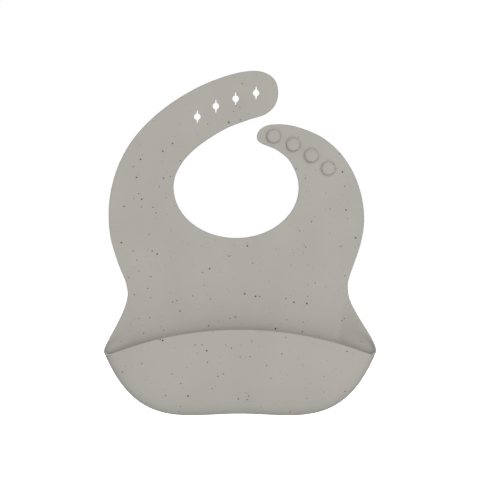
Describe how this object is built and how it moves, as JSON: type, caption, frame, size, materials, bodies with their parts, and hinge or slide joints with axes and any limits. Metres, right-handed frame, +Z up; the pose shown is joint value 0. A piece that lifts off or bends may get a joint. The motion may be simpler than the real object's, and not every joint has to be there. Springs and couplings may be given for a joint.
{
  "type": "silicone bib",
  "caption": "Soft silicone baby bib with a neck opening, two buttoned straps and a moulded crumb pocket, held up by the neck.",
  "frame": {"origin": "on the back face, at the height of the middle of the neck opening and on the pocket's centre line", "axes": "+Z up along the bib from the pocket to the straps, the front with the pocket and the studs faces -Y, +X to the right as seen from the front"},
  "size_m": [0.2345, 0.032, 0.2986],
  "materials": {
    "silicone": "matte speckled silicone"
  },
  "bodies": {
    "chest": {"chest_panel": "silicone"},
    "hole_strap_1": {"hole_strap_1": "silicone"},
    "hole_strap_2": {"hole_strap_2": "silicone"},
    "hole_strap_3": {"hole_strap_3": "silicone"},
    "hole_strap_4": {"hole_strap_4": "silicone"},
    "stud_strap_1": {"stud_strap_1": "silicone", "stud_4": "silicone"},
    "stud_strap_2": {"stud_strap_2": "silicone", "stud_3": "silicone", "stud_2": "silicone"},
    "stud_strap_3": {"stud_strap_3": "silicone", "stud_1": "silicone"},
    "apron": {"apron_panel": "silicone", "pocket_trough": "silicone", "pocket_gusset_left": "silicone", "pocket_gusset_right": "silicone"},
    "pocket": {"pocket_front_wall": "silicone"}
  },
  "joints": [
    {"name": "hole_strap_bend_1", "type": "hinge", "parent": "chest", "child": "hole_strap_1", "pos_m": [-0.086, -0.001, -0.01825], "axis": [-1, 0, 0], "range_deg": [-30, 50], "stiffness_Nm_per_rad": 0.12},
    {"name": "hole_strap_bend_2", "type": "hinge", "parent": "hole_strap_1", "child": "hole_strap_2", "pos_m": [-0.06874, -0.001, 0.03474], "axis": [-0.8829, 0, 0.4695], "range_deg": [-30, 50], "stiffness_Nm_per_rad": 0.12},
    {"name": "hole_strap_bend_3", "type": "hinge", "parent": "hole_strap_2", "child": "hole_strap_3", "pos_m": [-0.03037, -0.001, 0.06676], "axis": [-0.3746, 0, 0.9272], "range_deg": [-30, 50], "stiffness_Nm_per_rad": 0.12},
    {"name": "hole_strap_bend_4", "type": "hinge", "parent": "hole_strap_3", "child": "hole_strap_4", "pos_m": [0.00431, -0.001, 0.07862], "axis": [0.0976, 0, 0.9952], "range_deg": [-30, 50], "stiffness_Nm_per_rad": 0.12},
    {"name": "stud_strap_bend_1", "type": "hinge", "parent": "chest", "child": "stud_strap_1", "pos_m": [0.079, -0.001, -0.01825], "axis": [-1, 0, 0], "range_deg": [-30, 60], "stiffness_Nm_per_rad": 0.08},
    {"name": "stud_strap_bend_2", "type": "hinge", "parent": "stud_strap_1", "child": "stud_strap_2", "pos_m": [0.0692, -0.001, 0.02275], "axis": [-0.7997, 0, -0.6004], "range_deg": [-30, 60], "stiffness_Nm_per_rad": 0.08},
    {"name": "stud_strap_bend_3", "type": "hinge", "parent": "stud_strap_2", "child": "stud_strap_3", "pos_m": [0.0374, -0.001, 0.04195], "axis": [-0.3305, 0, -0.9438], "range_deg": [-30, 60], "stiffness_Nm_per_rad": 0.08},
    {"name": "apron_fold", "type": "hinge", "parent": "chest", "child": "apron", "pos_m": [0, -0.001, -0.07225], "axis": [-1, 0, 0], "range_deg": [-40, 100], "stiffness_Nm_per_rad": 0.3},
    {"name": "pocket_open", "type": "hinge", "parent": "apron", "child": "pocket", "pos_m": [0, -0.014, -0.19545], "axis": [1, 0, 0], "range_deg": [-18, 20], "stiffness_Nm_per_rad": 0.3, "deforming": ["pocket_gusset_left", "pocket_gusset_right"]}
  ],
  "couplings": [
    {"joint": "hole_strap_bend_2", "follows": "hole_strap_bend_1", "ratio": 1},
    {"joint": "hole_strap_bend_3", "follows": "hole_strap_bend_1", "ratio": 1},
    {"joint": "hole_strap_bend_4", "follows": "hole_strap_bend_1", "ratio": 1},
    {"joint": "stud_strap_bend_2", "follows": "stud_strap_bend_1", "ratio": 1},
    {"joint": "stud_strap_bend_3", "follows": "stud_strap_bend_1", "ratio": 1}
  ]
}
